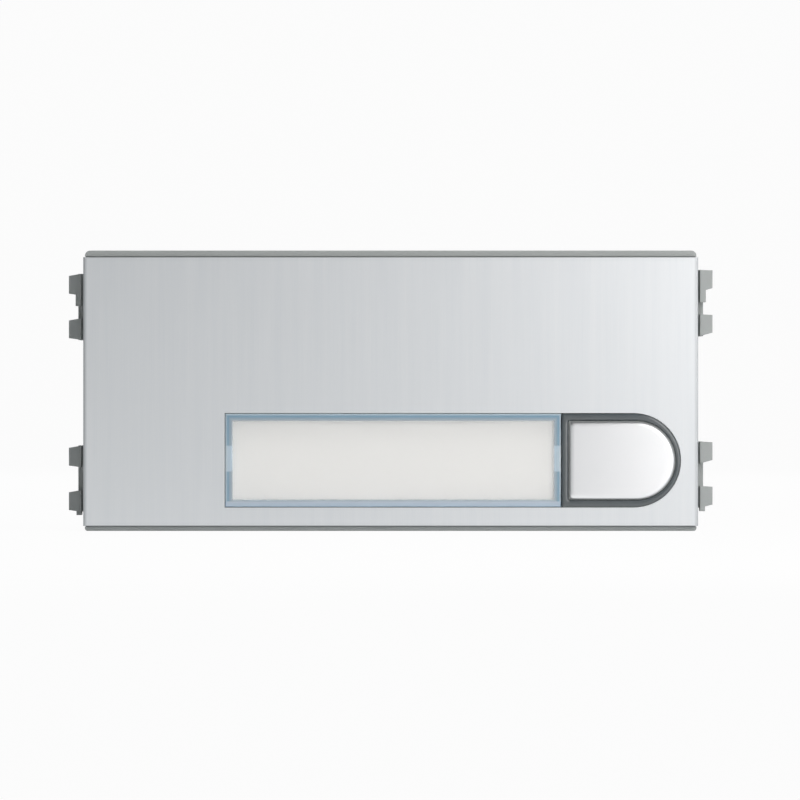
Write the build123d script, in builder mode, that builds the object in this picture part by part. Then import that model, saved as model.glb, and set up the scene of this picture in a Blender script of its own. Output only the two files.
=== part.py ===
from build123d import *

import os

# Intercom call-button module: brushed plate, lit name window and one push button on a clip-in carrier.
# Millimetres. +X is to the right and +Z up as seen from the street, and +Y runs into the wall.
# The origin is in the middle of the plane where the four side hooks bear on the rails of the panel frame.

# Front plate: an extruded profile, cut to length, with two side lips
plate_width = 110.0
plate_height = 48.1
plate_thickness = 1.5
plate_corner_radius = 0.25
lip_depth = 4.6  # from the front face to the end of the lip
lip_thickness = 1.2
barb_reach = 0.5
barb_height = 0.95

# Carrier: a moulded tray behind the plate, with a rim past each cut end of the profile
upper_rim = 1.2  # how far the carrier stands past the plate
lower_rim = 0.9
rim_gap = 0.15
rim_setback = 1.2  # rim face behind the plate's face
rim_inset = 0.25  # rim ends inside the plate's sides
upper_rim_radius = 0.95
lower_rim_radius = 0.5
end_stop_gap = 0.2  # end stops behind the rear edge of a lip
end_stop_thickness = 1.2
end_stop_overlap = 0.8  # how far an end stop covers a lip
deck_thickness = 2.0
deck_side_gap = 0.15  # between deck and lip
body_gap = 0.3  # between tray wall and barb
wall_thickness = 1.6
wall_corner_radius = 2.0
module_depth = 22.0  # plate face to rear edge
stiffener_thickness = 1.2
stiffener_depth = 4.0
stiffener_pitch = 26.0
cable_notch_x = -8.0
cable_notch_width = 26.0
cable_notch_depth = 7.0
cable_notch_radius = 1.5

# Side hooks: spring arms that snap behind the lips of the frame's rails
hook_setback = 6.0  # plate face to the hooks' bearing faces
hook_reach = 2.85  # tooth tips past the plate's sides
web_reach = 1.25
web_thickness = 1.3
web_setback = 2.0  # web behind the front faces of the teeth
shoulder_reach = 1.65
tooth_root = 3.9
tooth_tip = 3.2
tooth_gap = 4.1
right_tip_drop = 0.1  # upper corner of a tooth's tip below its root
left_tip_drop = 0.4
tooth_land = 0.8  # flat end of a tooth, before its ramp
tooth_length = 4.0
shoulder_height = 1.9
foot_height = 0.6
foot_reach = 1.5
arm_length = 12.0
arm_root_length = 3.0
hook_inner = 9.5  # middle of the module to the near end of an arm
hook_stagger = 0.7  # right-hand arms sit this much higher than left-hand ones

# Opening in the plate, shared by the window and the button
opening_height = 16.9
opening_side_margin = 3.05
opening_bottom_margin = 3.3
trim_gap = 0.1  # round everything that fills the opening
seam_gap = 0.15  # between window and bezel

# Bezel: a ring round the button, clamped under the plate by its flange
bezel_length = 21.2
bezel_wall = 1.25
bezel_end_wall = 0.85  # at the round end
bezel_bar = 1.1  # at the square end
bezel_proud = 0.5
bezel_flange_reach = 0.8
bezel_flange_thickness = 0.8
bezel_bevel = 0.25
bezel_corner_radius = 0.3

# Push button
button_gap = 0.2
button_end_gap = 0.3  # at the square end
button_proud = 1.0
button_crown_radius = 200.0
button_travel = 1.2
button_wall = 1.5
button_corner_radius = 0.55
button_edge_radius = 0.5
skirt_depth = 4.8  # plate face to the rear edge of the skirt
stem_radius = 1.5
guide_gap = 0.15  # stem and legs in the well's floor
leg_offset = 5.6
leg_thickness = 1.0
leg_width = 3.0
leg_barb = 0.7
leg_barb_height = 1.0
stop_gap = 0.1  # leg barbs below the floor
well_wall = 1.2
well_floor = 1.4
well_clearance = 0.2  # under the skirt when it is pressed home
stem_past_floor = 0.4

# Return spring
spring_radius = 2.7  # to the middle of the wire
spring_wire = 0.5
spring_wire_sides = 5
spring_turns = 4

# Name window, card and diffuser
window_length = 60.1
window_wall = 1.0
window_corner_radius = 0.6
window_edge_radius = 0.2
pane_thickness = 1.3
window_skirt_depth = 4.5
window_clip_width = 4.6
window_clip_rise = 0.3  # clips above the window's middle
window_clip_length = 2.7
window_barb_reach = 0.8
window_barb_height = 1.4
clip_gap = 0.2
pocket_wall = 1.2
ledge_thickness = 1.2
card_thickness = 0.3
card_gap = 0.1
card_play = 0.05  # behind the pane
diffuser_gap = 0.25
diffuser_wall = 1.2
diffuser_flange_reach = 1.9
diffuser_flange_thickness = 1.0
stake_radius = 0.6
stake_gap = 0.1
stake_height = 0.5

# Call switch
switch_size = 6.2
switch_height = 3.15
switch_cover_thickness = 0.3
switch_cover_hole = 2.2
plunger_radius = 1.75
plunger_play = 0.1  # plunger proud of the switch when pressed
plunger_collar_radius = 2.4
plunger_collar_thickness = 0.5
switch_chamber_depth = 2.4
leg_pin_width = 0.7
leg_pin_thickness = 0.3
leg_pin_spacing_x = 6.5
leg_pin_spacing_z = 4.5
solder_tail = 1.2

# Circuit board
board_thickness = 1.6
board_edge_gap = 0.9  # to the tray's side walls
board_lower_gap = 0.7
board_height = 30.0
board_corner_radius = 1.0
boss_radius = 2.6
boss_inset_x = 4.0  # board edge to screw
boss_inset_z = 3.6
screw_radius = 1.1
screw_length = 6.0
screw_hole_gap = 0.1
screw_head_radius = 2.1
screw_head_height = 1.4
screw_head_bevel = 0.45
screw_recess_width = 0.6
screw_recess_length = 2.4
screw_recess_depth = 0.8
post_radius = 1.5

# Parts on the board
led_count = 3
led_pitch = 18.5
led_length = 3.5
led_width = 2.8
led_height = 1.5
led_lens_radius = 1.15
led_lens_height = 0.4
lens_sides = 16
pin_pitch = 2.54
pins_per_row = 5
pin_size = 0.64
pin_hole_radius = 0.52
pin_length = 5.9
header_base_height = 2.5
header_x_left = -26.0
header_x_right = 10.0
header_inset = 5.4  # board's upper edge to the header's middle
resistor_length = 3.2
resistor_width = 1.6
resistor_height = 0.6
diode_length = 3.5
diode_radius = 0.8
rear_part_drop = 12.0  # board's upper edge to resistors and diode

# Pins, stakes and screw shanks are small and repeat, so their round sections have few sides
small_sides = 8

# Between small parts that just clear each other
fine_play = 0.05

# Places worked out from the sizes above. Depths are behind the plate's front face.
module_height = plate_height + upper_rim + lower_rim
plate_z = (lower_rim - upper_rim) / 2
plate_top = plate_z + plate_height / 2
plate_bottom = plate_z - plate_height / 2
deck_width = plate_width - 2 * (lip_thickness + deck_side_gap)
body_width = plate_width - 2 * (lip_thickness + barb_reach + body_gap)
rim_width = plate_width - 2 * rim_inset
deck_back = plate_thickness + deck_thickness

opening_z = plate_bottom + opening_bottom_margin + opening_height / 2
opening_right = plate_width / 2 - opening_side_margin
trim_height = opening_height - 2 * trim_gap
bezel_right = opening_right - trim_gap
bezel_left = bezel_right - bezel_length
window_right = bezel_left - seam_gap
window_left = window_right - window_length
window_x = (window_left + window_right) / 2
opening_left = window_left - trim_gap

ring_left = bezel_left + bezel_bar
ring_right = bezel_right - bezel_end_wall
ring_height = trim_height - 2 * bezel_wall
flange_back = plate_thickness + bezel_flange_thickness
button_left = ring_left + button_end_gap
button_right = ring_right - button_gap
button_height = ring_height - 2 * button_gap
button_x = (button_left + button_right) / 2

floor_front = skirt_depth + button_travel + well_clearance
floor_back = floor_front + well_floor
stem_end = floor_back + stem_past_floor
cap_inside = button_wall - button_proud
plunger_top = stem_end + fine_play
switch_front = plunger_top + button_travel + plunger_play
board_front = switch_front + switch_height
board_back = board_front + board_thickness

card_length = window_length - 2 * (window_wall + card_gap)
card_height = trim_height - 2 * (window_wall + card_gap)
clear_length = window_length - 2 * window_wall
clear_height = trim_height - 2 * window_wall
clip_z = opening_z + window_clip_rise
stake_pitch_x = clear_length + diffuser_flange_reach
stake_pitch_z = clear_height + diffuser_flange_reach
card_back = pane_thickness + card_play + card_thickness
pocket_back = window_skirt_depth + ledge_thickness
pocket_left = opening_left - pocket_wall
pocket_right = ring_left
pocket_height = opening_height + 2 * pocket_wall
clip_back = window_skirt_depth + ledge_thickness + clip_gap + window_clip_length - window_barb_height

board_width = body_width - 2 * (wall_thickness + board_edge_gap)
board_bottom = -module_height / 2 + wall_thickness + board_lower_gap
board_top = board_bottom + board_height
board_z = (board_bottom + board_top) / 2
boss_x = board_width / 2 - boss_inset_x
boss_top = board_top - boss_inset_z
boss_bottom = board_bottom + boss_inset_z
boss_places = [(-boss_x, boss_top), (boss_x, boss_top), (-boss_x, boss_bottom)]
header_z = board_top - header_inset
rear_part_z = board_top - rear_part_drop
led_places = [(window_x + (i - (led_count - 1) / 2) * led_pitch, opening_z) for i in range(led_count)]
resistor_places = [(x, rear_part_z) for x, z in led_places]
diode_place = (button_x, rear_part_z)
leg_pin_columns = [button_x - leg_pin_spacing_x / 2, button_x + leg_pin_spacing_x / 2]
leg_pin_rows = [opening_z - leg_pin_spacing_z / 2, opening_z + leg_pin_spacing_z / 2]
leg_pin_places = [(x, z) for x in leg_pin_columns for z in leg_pin_rows]


def depth_y(depth):
    """Y of a plane that lies this far behind the plate's front face."""
    return depth - hook_setback


def facing(depth):
    """The upright plane at a depth, seen from the street: +X right, +Z up, normal towards the viewer."""
    return Plane(origin=(0, depth_y(depth), 0), x_dir=(1, 0, 0), z_dir=(0, -1, 0))


def bullet(left, right, height):
    """A face with a square left end and a half-round right end, on the opening's centre line."""
    radius = height / 2
    low = opening_z - radius
    high = opening_z + radius
    with BuildLine() as outline:
        Polyline((right - radius, low), (left, low), (left, high), (right - radius, high))
        ThreePointArc((right - radius, high), (right, opening_z), (right - radius, low))
    make_face(outline.edges())


def header_pin_places(header_x):
    """Centres of one header's pins, in two rows."""
    columns = [header_x + (i - (pins_per_row - 1) / 2) * pin_pitch for i in range(pins_per_row)]
    return [(x, header_z + row * pin_pitch / 2) for x in columns for row in (-1, 1)]


def end_bars(overlap):
    """A bar along each end of the carrier, rounded outside, that covers this much of the plate."""
    ends = [(plate_top, 1, upper_rim, upper_rim_radius), (plate_bottom, -1, lower_rim, lower_rim_radius)]
    half = rim_width / 2
    for plate_end, way, rim, radius in ends:
        inner = plate_end - way * overlap
        outer = plate_end + way * rim
        with BuildLine() as outline:
            FilletPolyline((-half, inner), (-half, outer), (half, outer), (half, inner), radius=radius)
            Line((half, inner), (-half, inner))
        make_face(outline.edges())


# Front plate: the profile across the lips, drawn for one half and mirrored, then the opening
with BuildPart() as front_plate:
    with BuildSketch(Plane.XY.offset(plate_bottom)):
        with BuildLine():
            half = plate_width / 2
            inside = half - lip_thickness
            barb_front = lip_depth - barb_height
            Polyline(
                (0, depth_y(0)),
                (half, depth_y(0)),
                (half, depth_y(lip_depth)),
                (inside, depth_y(lip_depth)),
                (inside - barb_reach, depth_y(barb_front + barb_height / 2)),
                (inside - barb_reach, depth_y(barb_front)),
                (inside, depth_y(barb_front)),
                (inside, depth_y(plate_thickness)),
                (0, depth_y(plate_thickness)),
            )
            mirror(about=Plane.YZ)
        make_face()
    extrude(amount=plate_height)
    side_edges = front_plate.edges().filter_by(Axis.Z).group_by(Axis.Y)[0]
    fillet(side_edges, plate_corner_radius)
    with BuildSketch(facing(plate_thickness)):
        bullet(opening_left, opening_right, opening_height)
    extrude(amount=plate_thickness, mode=Mode.SUBTRACT)
front_plate.part.label = "front_plate"


def hook_arm(middle_z, has_shoulder, tip_drop):
    """One right-hand spring arm: a web rooted at its rear end, with two teeth that ramp off rearwards.

    The upper arm has a shoulder under its top tooth, and the lower arm a foot below its bottom tooth.
    """
    side = plate_width / 2
    arm_height = 2 * tooth_root + tooth_gap
    web_outer = side + web_reach
    web_middle = web_outer - web_thickness / 2
    arm_top = middle_z + arm_height / 2
    tooth_tops = [arm_top, arm_top - tooth_root - tooth_gap]
    with BuildPart() as teeth:
        with BuildSketch(facing(hook_setback + tooth_length)):
            for top in tooth_tops:
                with BuildLine():
                    Polyline(
                        (web_middle, top),
                        (side + hook_reach, top - tip_drop),
                        (side + hook_reach, top - tip_drop - tooth_tip),
                        (web_middle, top - tooth_root),
                        close=True,
                    )
                make_face()
        extrude(amount=tooth_length)
        with BuildSketch(Plane.XY.offset(middle_z)):
            with BuildLine():
                Polyline(
                    (web_middle, 0),
                    (side + hook_reach, 0),
                    (side + hook_reach, tooth_land),
                    (web_outer, tooth_length),
                    (web_middle, tooth_length),
                    close=True,
                )
            make_face()
        extrude(amount=arm_height, both=True, mode=Mode.INTERSECT)
    with BuildPart() as arm:
        add(teeth.part)
        with BuildSketch(facing(hook_setback + arm_length)):
            with Locations((web_middle, middle_z)):
                Rectangle(web_thickness, arm_height)
        extrude(amount=arm_length - web_setback)
        with BuildSketch(facing(hook_setback + arm_length)):
            with Locations(((body_width / 2 + web_outer) / 2, middle_z)):
                Rectangle(web_outer - body_width / 2, arm_height)
        extrude(amount=arm_root_length)
        with BuildSketch(facing(hook_setback + tooth_length)):
            if has_shoulder:
                tooth_bottom = arm_top - tooth_root
                step_height = shoulder_height
                step_width = side + shoulder_reach - web_middle
            else:
                tooth_bottom = arm_top - arm_height
                step_height = foot_height
                step_width = side + foot_reach - web_middle
            with Locations((web_middle, tooth_bottom - step_height)):
                Rectangle(step_width, step_height + tooth_root / 2, align=(Align.MIN, Align.MIN))
        extrude(amount=tooth_length)
    return arm.part


arm_middle = hook_inner + (2 * tooth_root + tooth_gap) / 2
right_arms = [
    hook_arm(arm_middle + hook_stagger / 2, True, right_tip_drop),
    hook_arm(-arm_middle + hook_stagger / 2, False, right_tip_drop),
]
left_arms = [
    hook_arm(arm_middle - hook_stagger / 2, True, left_tip_drop),
    hook_arm(-arm_middle - hook_stagger / 2, False, left_tip_drop),
]

# Carrier: deck, tray walls, rims, hooks, label pocket, button well, board bosses and stiffeners
with BuildPart() as carrier:
    with BuildSketch(facing(deck_back)):
        Rectangle(deck_width, module_height)
    extrude(amount=deck_thickness)
    with BuildSketch(facing(module_depth)):
        RectangleRounded(body_width, module_height, wall_corner_radius)
        Rectangle(body_width - 2 * wall_thickness, module_height - 2 * wall_thickness, mode=Mode.SUBTRACT)
    extrude(amount=module_depth - deck_back)

    with BuildSketch(facing(deck_back)):
        end_bars(-rim_gap)
    extrude(amount=deck_back - rim_setback)
    with BuildSketch(facing(lip_depth + end_stop_gap + end_stop_thickness)):
        end_bars(end_stop_overlap)
        Rectangle(body_width - wall_thickness, module_height, mode=Mode.SUBTRACT)
    extrude(amount=end_stop_thickness)

    add(right_arms)
    mirror(left_arms, about=Plane.YZ)

    with BuildSketch(facing(pocket_back)):
        with Locations(((pocket_left + pocket_right) / 2, opening_z)):
            Rectangle(pocket_right - pocket_left, pocket_height)
    extrude(amount=pocket_back - deck_back)
    with BuildSketch(facing(window_skirt_depth)):
        with Locations((window_x, opening_z)):
            Rectangle(window_length + 2 * trim_gap, opening_height)
    extrude(amount=window_skirt_depth, mode=Mode.SUBTRACT)
    with BuildSketch(facing(pocket_back)):
        with Locations((window_x, opening_z)):
            Rectangle(clear_length, clear_height)
        with Locations((window_x, clip_z)):
            Rectangle(window_length + 2 * trim_gap, window_clip_width + 2 * clip_gap)
    extrude(amount=ledge_thickness, mode=Mode.SUBTRACT)
    with BuildSketch(facing(pocket_back + diffuser_flange_thickness + stake_height)):
        with Locations((window_x, opening_z)):
            with GridLocations(stake_pitch_x, stake_pitch_z, 2, 2):
                RegularPolygon(stake_radius, small_sides)
    extrude(amount=diffuser_flange_thickness + stake_height)

    with BuildSketch(facing(flange_back)):
        bullet(
            bezel_left - seam_gap,
            bezel_right + bezel_flange_reach + trim_gap,
            trim_height + 2 * (bezel_flange_reach + trim_gap),
        )
    extrude(amount=bezel_flange_thickness, mode=Mode.SUBTRACT)
    with BuildSketch(facing(floor_back)):
        bullet(ring_left, ring_right + well_wall, ring_height + 2 * well_wall)
    extrude(amount=floor_back - deck_back)
    with BuildSketch(facing(floor_front)):
        bullet(ring_left, ring_right, ring_height)
    extrude(amount=floor_front, mode=Mode.SUBTRACT)
    with BuildSketch(facing(floor_back)):
        with Locations((button_x, opening_z)):
            Circle(stem_radius + guide_gap)
            with GridLocations(2 * leg_offset - leg_barb, 0, 2, 1):
                Rectangle(leg_thickness + leg_barb + 2 * guide_gap, leg_width + 2 * guide_gap)
    extrude(amount=well_floor, mode=Mode.SUBTRACT)

    with BuildSketch(facing(board_front)):
        with Locations(*boss_places):
            Circle(boss_radius)
    extrude(amount=board_front - deck_back)
    with BuildSketch(facing(board_front)):
        with Locations((button_x + leg_offset, opening_z - ring_height / 2 + post_radius)):
            Circle(post_radius)
    extrude(amount=board_front - floor_back)
    with BuildSketch(facing(board_front)):
        with Locations(*boss_places):
            RegularPolygon(screw_radius + screw_hole_gap / 2, small_sides)
    extrude(amount=screw_length - board_thickness + screw_hole_gap, mode=Mode.SUBTRACT)

    with BuildSketch(facing(deck_back + stiffener_depth)):
        rib_top = module_height / 2 - wall_thickness
        with Locations((0, (rib_top + board_top) / 2)):
            with GridLocations(stiffener_pitch, 0, 3, 1):
                Rectangle(stiffener_thickness, rib_top - board_top)
        with Locations((0, board_top)):
            Rectangle(body_width - wall_thickness, stiffener_thickness)
    extrude(amount=stiffener_depth)

    with BuildSketch(Plane.XY):
        with Locations((cable_notch_x, depth_y(module_depth))):
            RectangleRounded(cable_notch_width, 2 * cable_notch_depth, cable_notch_radius)
    extrude(amount=module_height, both=True, mode=Mode.SUBTRACT)
carrier.part.label = "carrier"

# Button bezel: ring, flange under the plate, and broken edges
with BuildPart() as button_bezel:
    with BuildSketch(facing(flange_back)):
        bullet(bezel_left, bezel_right, trim_height)
    extrude(amount=flange_back + bezel_proud)
    with BuildSketch(facing(flange_back)):
        bullet(bezel_left, bezel_right + bezel_flange_reach, trim_height + 2 * bezel_flange_reach)
    extrude(amount=bezel_flange_thickness)
    with BuildSketch(facing(flange_back)) as ring_hole:
        bullet(ring_left, ring_right, ring_height)
        fillet(ring_hole.vertices().group_by(Axis.X)[0], bezel_corner_radius)
    extrude(amount=flange_back + bezel_proud, mode=Mode.SUBTRACT)
    chamfer(button_bezel.faces().sort_by(Axis.Y)[0].edges(), bezel_bevel)
button_bezel.part.label = "button_bezel"

# Push button: rounded cap, hollow underneath, with a stem and two snap legs
with BuildPart() as push_button:
    with BuildSketch(facing(skirt_depth)) as cap_outline:
        bullet(button_left, button_right, button_height)
        fillet(cap_outline.vertices().group_by(Axis.X)[0], button_corner_radius)
    extrude(amount=skirt_depth + button_proud)
    with BuildSketch(Plane.XY.offset(opening_z)):
        with Locations((button_x, depth_y(button_crown_radius - button_proud))):
            Circle(button_crown_radius)
    extrude(amount=button_height, both=True, mode=Mode.INTERSECT)
    fillet(push_button.faces().sort_by(Axis.Y)[0].edges(), button_edge_radius)
    with BuildSketch(facing(skirt_depth)):
        bullet(button_left + button_wall, button_right - button_wall, button_height - 2 * button_wall)
    extrude(amount=skirt_depth - cap_inside, mode=Mode.SUBTRACT)
    with BuildSketch(facing(stem_end)):
        with Locations((button_x, opening_z)):
            Circle(stem_radius)
    extrude(amount=stem_end - cap_inside)
    leg_end = floor_back + stop_gap + leg_barb_height
    with BuildSketch(facing(leg_end)):
        with Locations((button_x, opening_z)):
            with GridLocations(2 * leg_offset, 0, 2, 1):
                Rectangle(leg_thickness, leg_width)
    extrude(amount=leg_end - cap_inside)
    with BuildSketch(Plane.XY.offset(opening_z)):
        for direction in (-1, 1):
            outer = button_x + direction * (leg_offset + leg_thickness / 2)
            with BuildLine():
                Polyline(
                    (outer, depth_y(floor_back + stop_gap)),
                    (outer + direction * leg_barb, depth_y(floor_back + stop_gap)),
                    (outer, depth_y(leg_end)),
                    close=True,
                )
            make_face()
    extrude(amount=leg_width / 2, both=True)
push_button.part.label = "push_button"

# Return spring: wire on a helix between the well's floor and the cap
with BuildPart() as return_spring:
    coil_length = floor_front - cap_inside - spring_wire
    with BuildLine() as coil:
        Helix(
            pitch=coil_length / spring_turns,
            height=coil_length,
            radius=spring_radius,
            center=(button_x, depth_y(cap_inside + spring_wire / 2), opening_z),
            direction=(0, 1, 0),
        )
    with BuildSketch(Plane(origin=coil.line @ 0, z_dir=coil.line % 0)):
        RegularPolygon(spring_wire / 2, spring_wire_sides)
    sweep(is_frenet=True)
return_spring.part.label = "return_spring"

# Label window: a pane with a skirt round it and a snap clip at each end
with BuildPart() as label_window:
    with BuildSketch(facing(window_skirt_depth)):
        with Locations((window_x, opening_z)):
            Rectangle(window_length, trim_height)
    extrude(amount=window_skirt_depth)
    fillet(label_window.faces().sort_by(Axis.Y)[0].edges(), window_edge_radius)
    with BuildSketch(facing(window_skirt_depth)):
        with Locations((window_x, opening_z)):
            RectangleRounded(clear_length, clear_height, window_corner_radius)
    extrude(amount=window_skirt_depth - pane_thickness, mode=Mode.SUBTRACT)
    with BuildSketch(facing(clip_back)):
        with Locations((window_x, clip_z)):
            with GridLocations(window_length - window_wall, 0, 2, 1):
                Rectangle(window_wall, window_clip_width)
    extrude(amount=clip_back - window_skirt_depth)
    with BuildSketch(Plane.XY.offset(clip_z)):
        for direction in (-1, 1):
            outer = window_x + direction * window_length / 2
            with BuildLine():
                Polyline(
                    (outer, depth_y(clip_back - window_barb_height)),
                    (outer + direction * window_barb_reach, depth_y(clip_back - window_barb_height)),
                    (outer, depth_y(clip_back)),
                    close=True,
                )
            make_face()
    extrude(amount=window_clip_width / 2, both=True)
label_window.part.label = "label_window"

# Name card: blank, behind the pane
with BuildPart() as name_card:
    with BuildSketch(facing(card_back)):
        with Locations((window_x, opening_z)):
            RectangleRounded(card_length, card_height, window_corner_radius)
    extrude(amount=card_thickness)
name_card.part.label = "name_card"

# Label diffuser: an open-backed box behind the card, with a flange on four heat stakes
with BuildPart() as label_diffuser:
    diffuser_front = card_back
    flange_end = pocket_back + diffuser_flange_thickness
    block_length = clear_length - 2 * diffuser_gap
    block_height = clear_height - 2 * diffuser_gap
    with BuildSketch(facing(flange_end)):
        with Locations((window_x, opening_z)):
            Rectangle(block_length, block_height)
    extrude(amount=flange_end - diffuser_front)
    with BuildSketch(facing(flange_end)):
        with Locations((window_x, opening_z)):
            Rectangle(clear_length + 2 * diffuser_flange_reach, clear_height + 2 * diffuser_flange_reach)
            with GridLocations(stake_pitch_x, stake_pitch_z, 2, 2):
                RegularPolygon(stake_radius + stake_gap, small_sides, mode=Mode.SUBTRACT)
        with Locations((window_x, clip_z)):
            with GridLocations(stake_pitch_x + window_wall, 0, 2, 1):
                notch = diffuser_flange_reach + window_wall + 2 * clip_gap
                Rectangle(notch, window_clip_width + 4 * clip_gap, mode=Mode.SUBTRACT)
    extrude(amount=diffuser_flange_thickness)
    with BuildSketch(facing(flange_end)):
        with Locations((window_x, opening_z)):
            Rectangle(block_length - 2 * diffuser_wall, block_height - 2 * diffuser_wall)
    extrude(amount=flange_end - diffuser_front - diffuser_wall, mode=Mode.SUBTRACT)
label_diffuser.part.label = "label_diffuser"

# Circuit board with its drilled holes
with BuildPart() as circuit_board:
    with BuildSketch(facing(board_back)):
        with Locations((0, board_z)):
            RectangleRounded(board_width, board_height, board_corner_radius)
        with Locations(*boss_places):
            Circle(screw_radius + screw_hole_gap, mode=Mode.SUBTRACT)
        header_pins = header_pin_places(header_x_left) + header_pin_places(header_x_right)
        with Locations(*header_pins, *leg_pin_places):
            RegularPolygon(pin_hole_radius, small_sides, mode=Mode.SUBTRACT)
    extrude(amount=board_thickness)
circuit_board.part.label = "circuit_board"

# Board screws: pan heads with a cross recess, driven from the rear
with BuildPart() as board_screws:
    with BuildSketch(facing(board_back + screw_head_height)):
        with Locations(*boss_places):
            Circle(screw_head_radius)
    extrude(amount=screw_head_height)
    chamfer(board_screws.edges().group_by(Axis.Y)[-1], screw_head_bevel)
    with BuildSketch(facing(board_back)):
        with Locations(*boss_places):
            RegularPolygon(screw_radius, small_sides)
    extrude(amount=screw_length)
    with BuildSketch(facing(board_back + screw_head_height)):
        with Locations(*boss_places):
            Rectangle(screw_recess_length, screw_recess_width)
            Rectangle(screw_recess_width, screw_recess_length)
    extrude(amount=screw_recess_depth, mode=Mode.SUBTRACT)
board_screws.part.label = "board_screws"

# Call switch: base with a chamber, sheet cover, collared plunger and four legs
base_front = switch_front + switch_cover_thickness
with BuildPart() as switch_base:
    with BuildSketch(facing(board_front)):
        with Locations((button_x, opening_z)):
            Rectangle(switch_size, switch_size)
    extrude(amount=board_front - base_front)
    with BuildSketch(facing(base_front + switch_chamber_depth)):
        with Locations((button_x, opening_z)):
            Circle(plunger_collar_radius + guide_gap)
    extrude(amount=switch_chamber_depth, mode=Mode.SUBTRACT)
switch_base.part.label = "switch_base"

with BuildPart() as switch_cover:
    with BuildSketch(facing(base_front)):
        with Locations((button_x, opening_z)):
            Rectangle(switch_size, switch_size)
            Circle(switch_cover_hole, mode=Mode.SUBTRACT)
    extrude(amount=switch_cover_thickness)
switch_cover.part.label = "switch_cover"

with BuildPart() as switch_plunger:
    collar_back = base_front + fine_play + plunger_collar_thickness
    with BuildSketch(facing(collar_back)):
        with Locations((button_x, opening_z)):
            Circle(plunger_radius)
    extrude(amount=collar_back - plunger_top)
    with BuildSketch(facing(collar_back)):
        with Locations((button_x, opening_z)):
            Circle(plunger_collar_radius)
    extrude(amount=plunger_collar_thickness)
switch_plunger.part.label = "switch_plunger"

with BuildPart() as switch_legs:
    with BuildSketch(facing(board_back + solder_tail)):
        with Locations(*leg_pin_places):
            Rectangle(leg_pin_thickness, leg_pin_width)
    extrude(amount=board_thickness + solder_tail + switch_height / 3)
switch_legs.part.label = "switch_legs"

# Backlight: bodies and lenses in a row behind the diffuser
with BuildPart() as led_bodies:
    with BuildSketch(facing(board_front)):
        with Locations(*led_places):
            Rectangle(led_length, led_width)
    extrude(amount=led_height)
led_bodies.part.label = "led_bodies"

with BuildPart() as led_lenses:
    with BuildSketch(facing(board_front - led_height)):
        with Locations(*led_places):
            RegularPolygon(led_lens_radius, lens_sides)
    extrude(amount=led_lens_height)
led_lenses.part.label = "led_lenses"

# Ribbon headers on the rear of the board
header_length = pins_per_row * pin_pitch
header_width = 2 * pin_pitch
with BuildPart() as input_header_base:
    with BuildSketch(facing(board_back + header_base_height)):
        with Locations((header_x_left, header_z)):
            Rectangle(header_length, header_width)
        with Locations(*header_pin_places(header_x_left)):
            Rectangle(pin_size + fine_play, pin_size + fine_play, mode=Mode.SUBTRACT)
    extrude(amount=header_base_height)
input_header_base.part.label = "input_header_base"

with BuildPart() as input_header_pins:
    with BuildSketch(facing(board_back + pin_length)):
        with Locations(*header_pin_places(header_x_left)):
            Rectangle(pin_size, pin_size)
    extrude(amount=pin_length + board_thickness + solder_tail)
input_header_pins.part.label = "input_header_pins"

with BuildPart() as output_header_base:
    with BuildSketch(facing(board_back + header_base_height)):
        with Locations((header_x_right, header_z)):
            Rectangle(header_length, header_width)
        with Locations(*header_pin_places(header_x_right)):
            Rectangle(pin_size + fine_play, pin_size + fine_play, mode=Mode.SUBTRACT)
    extrude(amount=header_base_height)
output_header_base.part.label = "output_header_base"

with BuildPart() as output_header_pins:
    with BuildSketch(facing(board_back + pin_length)):
        with Locations(*header_pin_places(header_x_right)):
            Rectangle(pin_size, pin_size)
    extrude(amount=pin_length + board_thickness + solder_tail)
output_header_pins.part.label = "output_header_pins"

# Resistors and diode on the rear of the board
with BuildPart() as resistors:
    with BuildSketch(facing(board_back + resistor_height)):
        with Locations(*resistor_places):
            Rectangle(resistor_length, resistor_width)
    extrude(amount=resistor_height)
resistors.part.label = "resistors"

with BuildPart() as diode:
    with BuildSketch(Plane.YZ.offset(diode_place[0] - diode_length / 2)):
        with Locations((depth_y(board_back) + diode_radius, diode_place[1])):
            Circle(diode_radius)
    extrude(amount=diode_length)
diode.part.label = "diode"

pieces = [
    front_plate,
    carrier,
    button_bezel,
    push_button,
    return_spring,
    label_window,
    name_card,
    label_diffuser,
    circuit_board,
    board_screws,
    switch_base,
    switch_cover,
    switch_plunger,
    switch_legs,
    led_bodies,
    led_lenses,
    input_header_base,
    input_header_pins,
    output_header_base,
    output_header_pins,
    resistors,
    diode,
]
os.makedirs("parts", exist_ok=True)
for piece in pieces:
    export_step(piece.part, f"parts/{piece.part.label}.step")
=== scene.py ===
# %% [markdown]
# # An intercom button module, dressed in Blender
#
# The solids come from CAD: a brushed plate, a moulded carrier behind it, a lit name window and one
# push button. They are already the right shape, so most of this lesson is about finishes, light
# and the few small pieces that are easier to work out as surfaces than as solids: a wound spring,
# a collar, solder and tracks. Everything is in metres, and every finished piece keeps its place
# in its mesh.

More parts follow.
